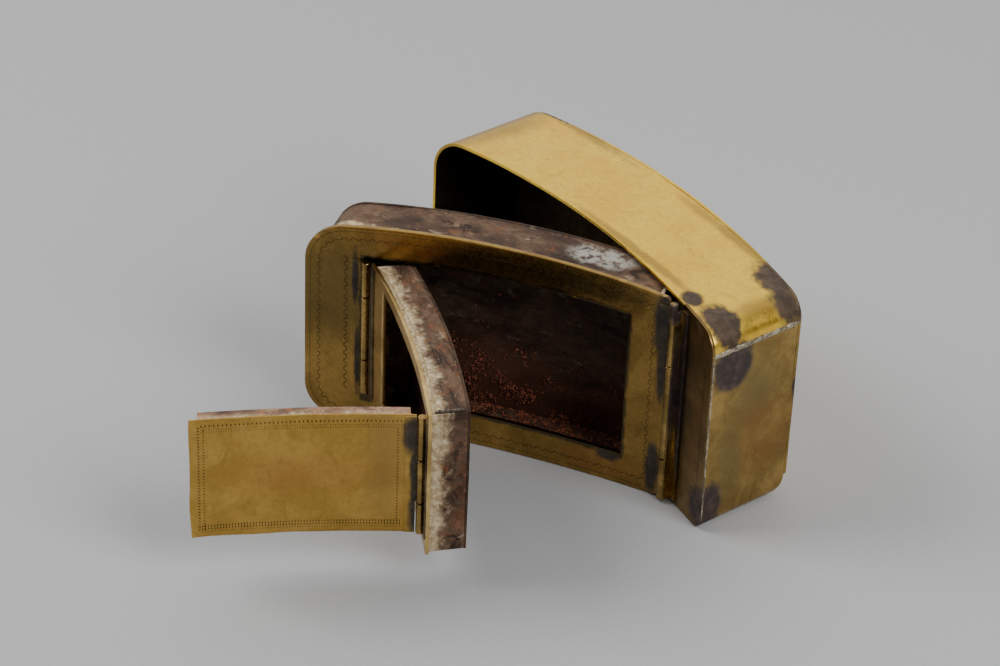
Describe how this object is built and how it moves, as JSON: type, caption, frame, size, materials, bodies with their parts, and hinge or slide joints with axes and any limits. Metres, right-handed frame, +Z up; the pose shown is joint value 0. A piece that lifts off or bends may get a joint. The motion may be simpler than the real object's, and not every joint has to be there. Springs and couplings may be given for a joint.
{
  "type": "needle case",
  "caption": "Bowed sheet-brass needle case: a case with a box hinged in its mouth, a smaller box hinged in that one, and a hinged lid.",
  "frame": {"origin": "middle of the flat underside of the case, at mid length and mid depth", "axes": "+X along the case's chord towards its hinged end, +Y from the mouth to the back of the case, +Z up"},
  "size_m": [0.0953, 0.1248, 0.0516],
  "materials": {
    "case_brass": "worn satin brass with pits and dark purple-brown tarnish",
    "plate_brass": "satin brass with punched zigzag and dashed borders, tarnished beside the hinges",
    "hinge_brass": "worn brass, bright on the barrels",
    "hinge_pin": "dull brass wire",
    "tinned_iron": "tinned iron, dull and rusted",
    "solder": "soft solder, cream-grey and rough"
  },
  "bodies": {
    "case": {"case_band": "case_brass", "case_back_plate": "case_brass", "case_end_panel": "case_brass", "case_front_strip": "case_brass", "case_top_seam": "solder", "case_front_seam": "solder", "case_hinge_leaf": "hinge_brass", "case_hinge_pin": "hinge_pin"},
    "middle_box": {"middle_front_plate": "plate_brass", "middle_wall_band": "tinned_iron", "middle_end_wall": "tinned_iron", "middle_back_plate": "tinned_iron", "middle_solder_fillet": "solder", "middle_hinge_leaf": "hinge_brass", "window_hinge_leaf": "hinge_brass", "window_hinge_pin": "hinge_pin"},
    "inner_box": {"inner_front_plate": "plate_brass", "inner_wall_band": "tinned_iron", "inner_end_panel": "tinned_iron", "inner_back_plate": "tinned_iron", "inner_seam": "solder", "inner_hinge_leaf": "hinge_brass", "lid_hinge_fixed_leaf": "hinge_brass", "lid_hinge_pin": "hinge_pin"},
    "lid": {"lid_front_plate": "plate_brass", "lid_wall_rim": "tinned_iron", "lid_hinge_leaf": "hinge_brass"}
  },
  "joints": [
    {"name": "case_hinge", "type": "hinge", "parent": "case", "child": "middle_box", "pos_m": [0.0346, -0.01626, 0.0255], "axis": [0, 0, 1], "range_deg": [-32.45, 60]},
    {"name": "inner_hinge", "type": "hinge", "parent": "middle_box", "child": "inner_box", "pos_m": [-0.02256, -0.05235, 0.0255], "axis": [0, 0, 1], "range_deg": [-40, 57.25]},
    {"name": "lid_hinge", "type": "hinge", "parent": "inner_box", "child": "lid", "pos_m": [0.02704, -0.07387, 0.0265], "axis": [0, 0, 1], "range_deg": [-82.35, 25]}
  ]
}
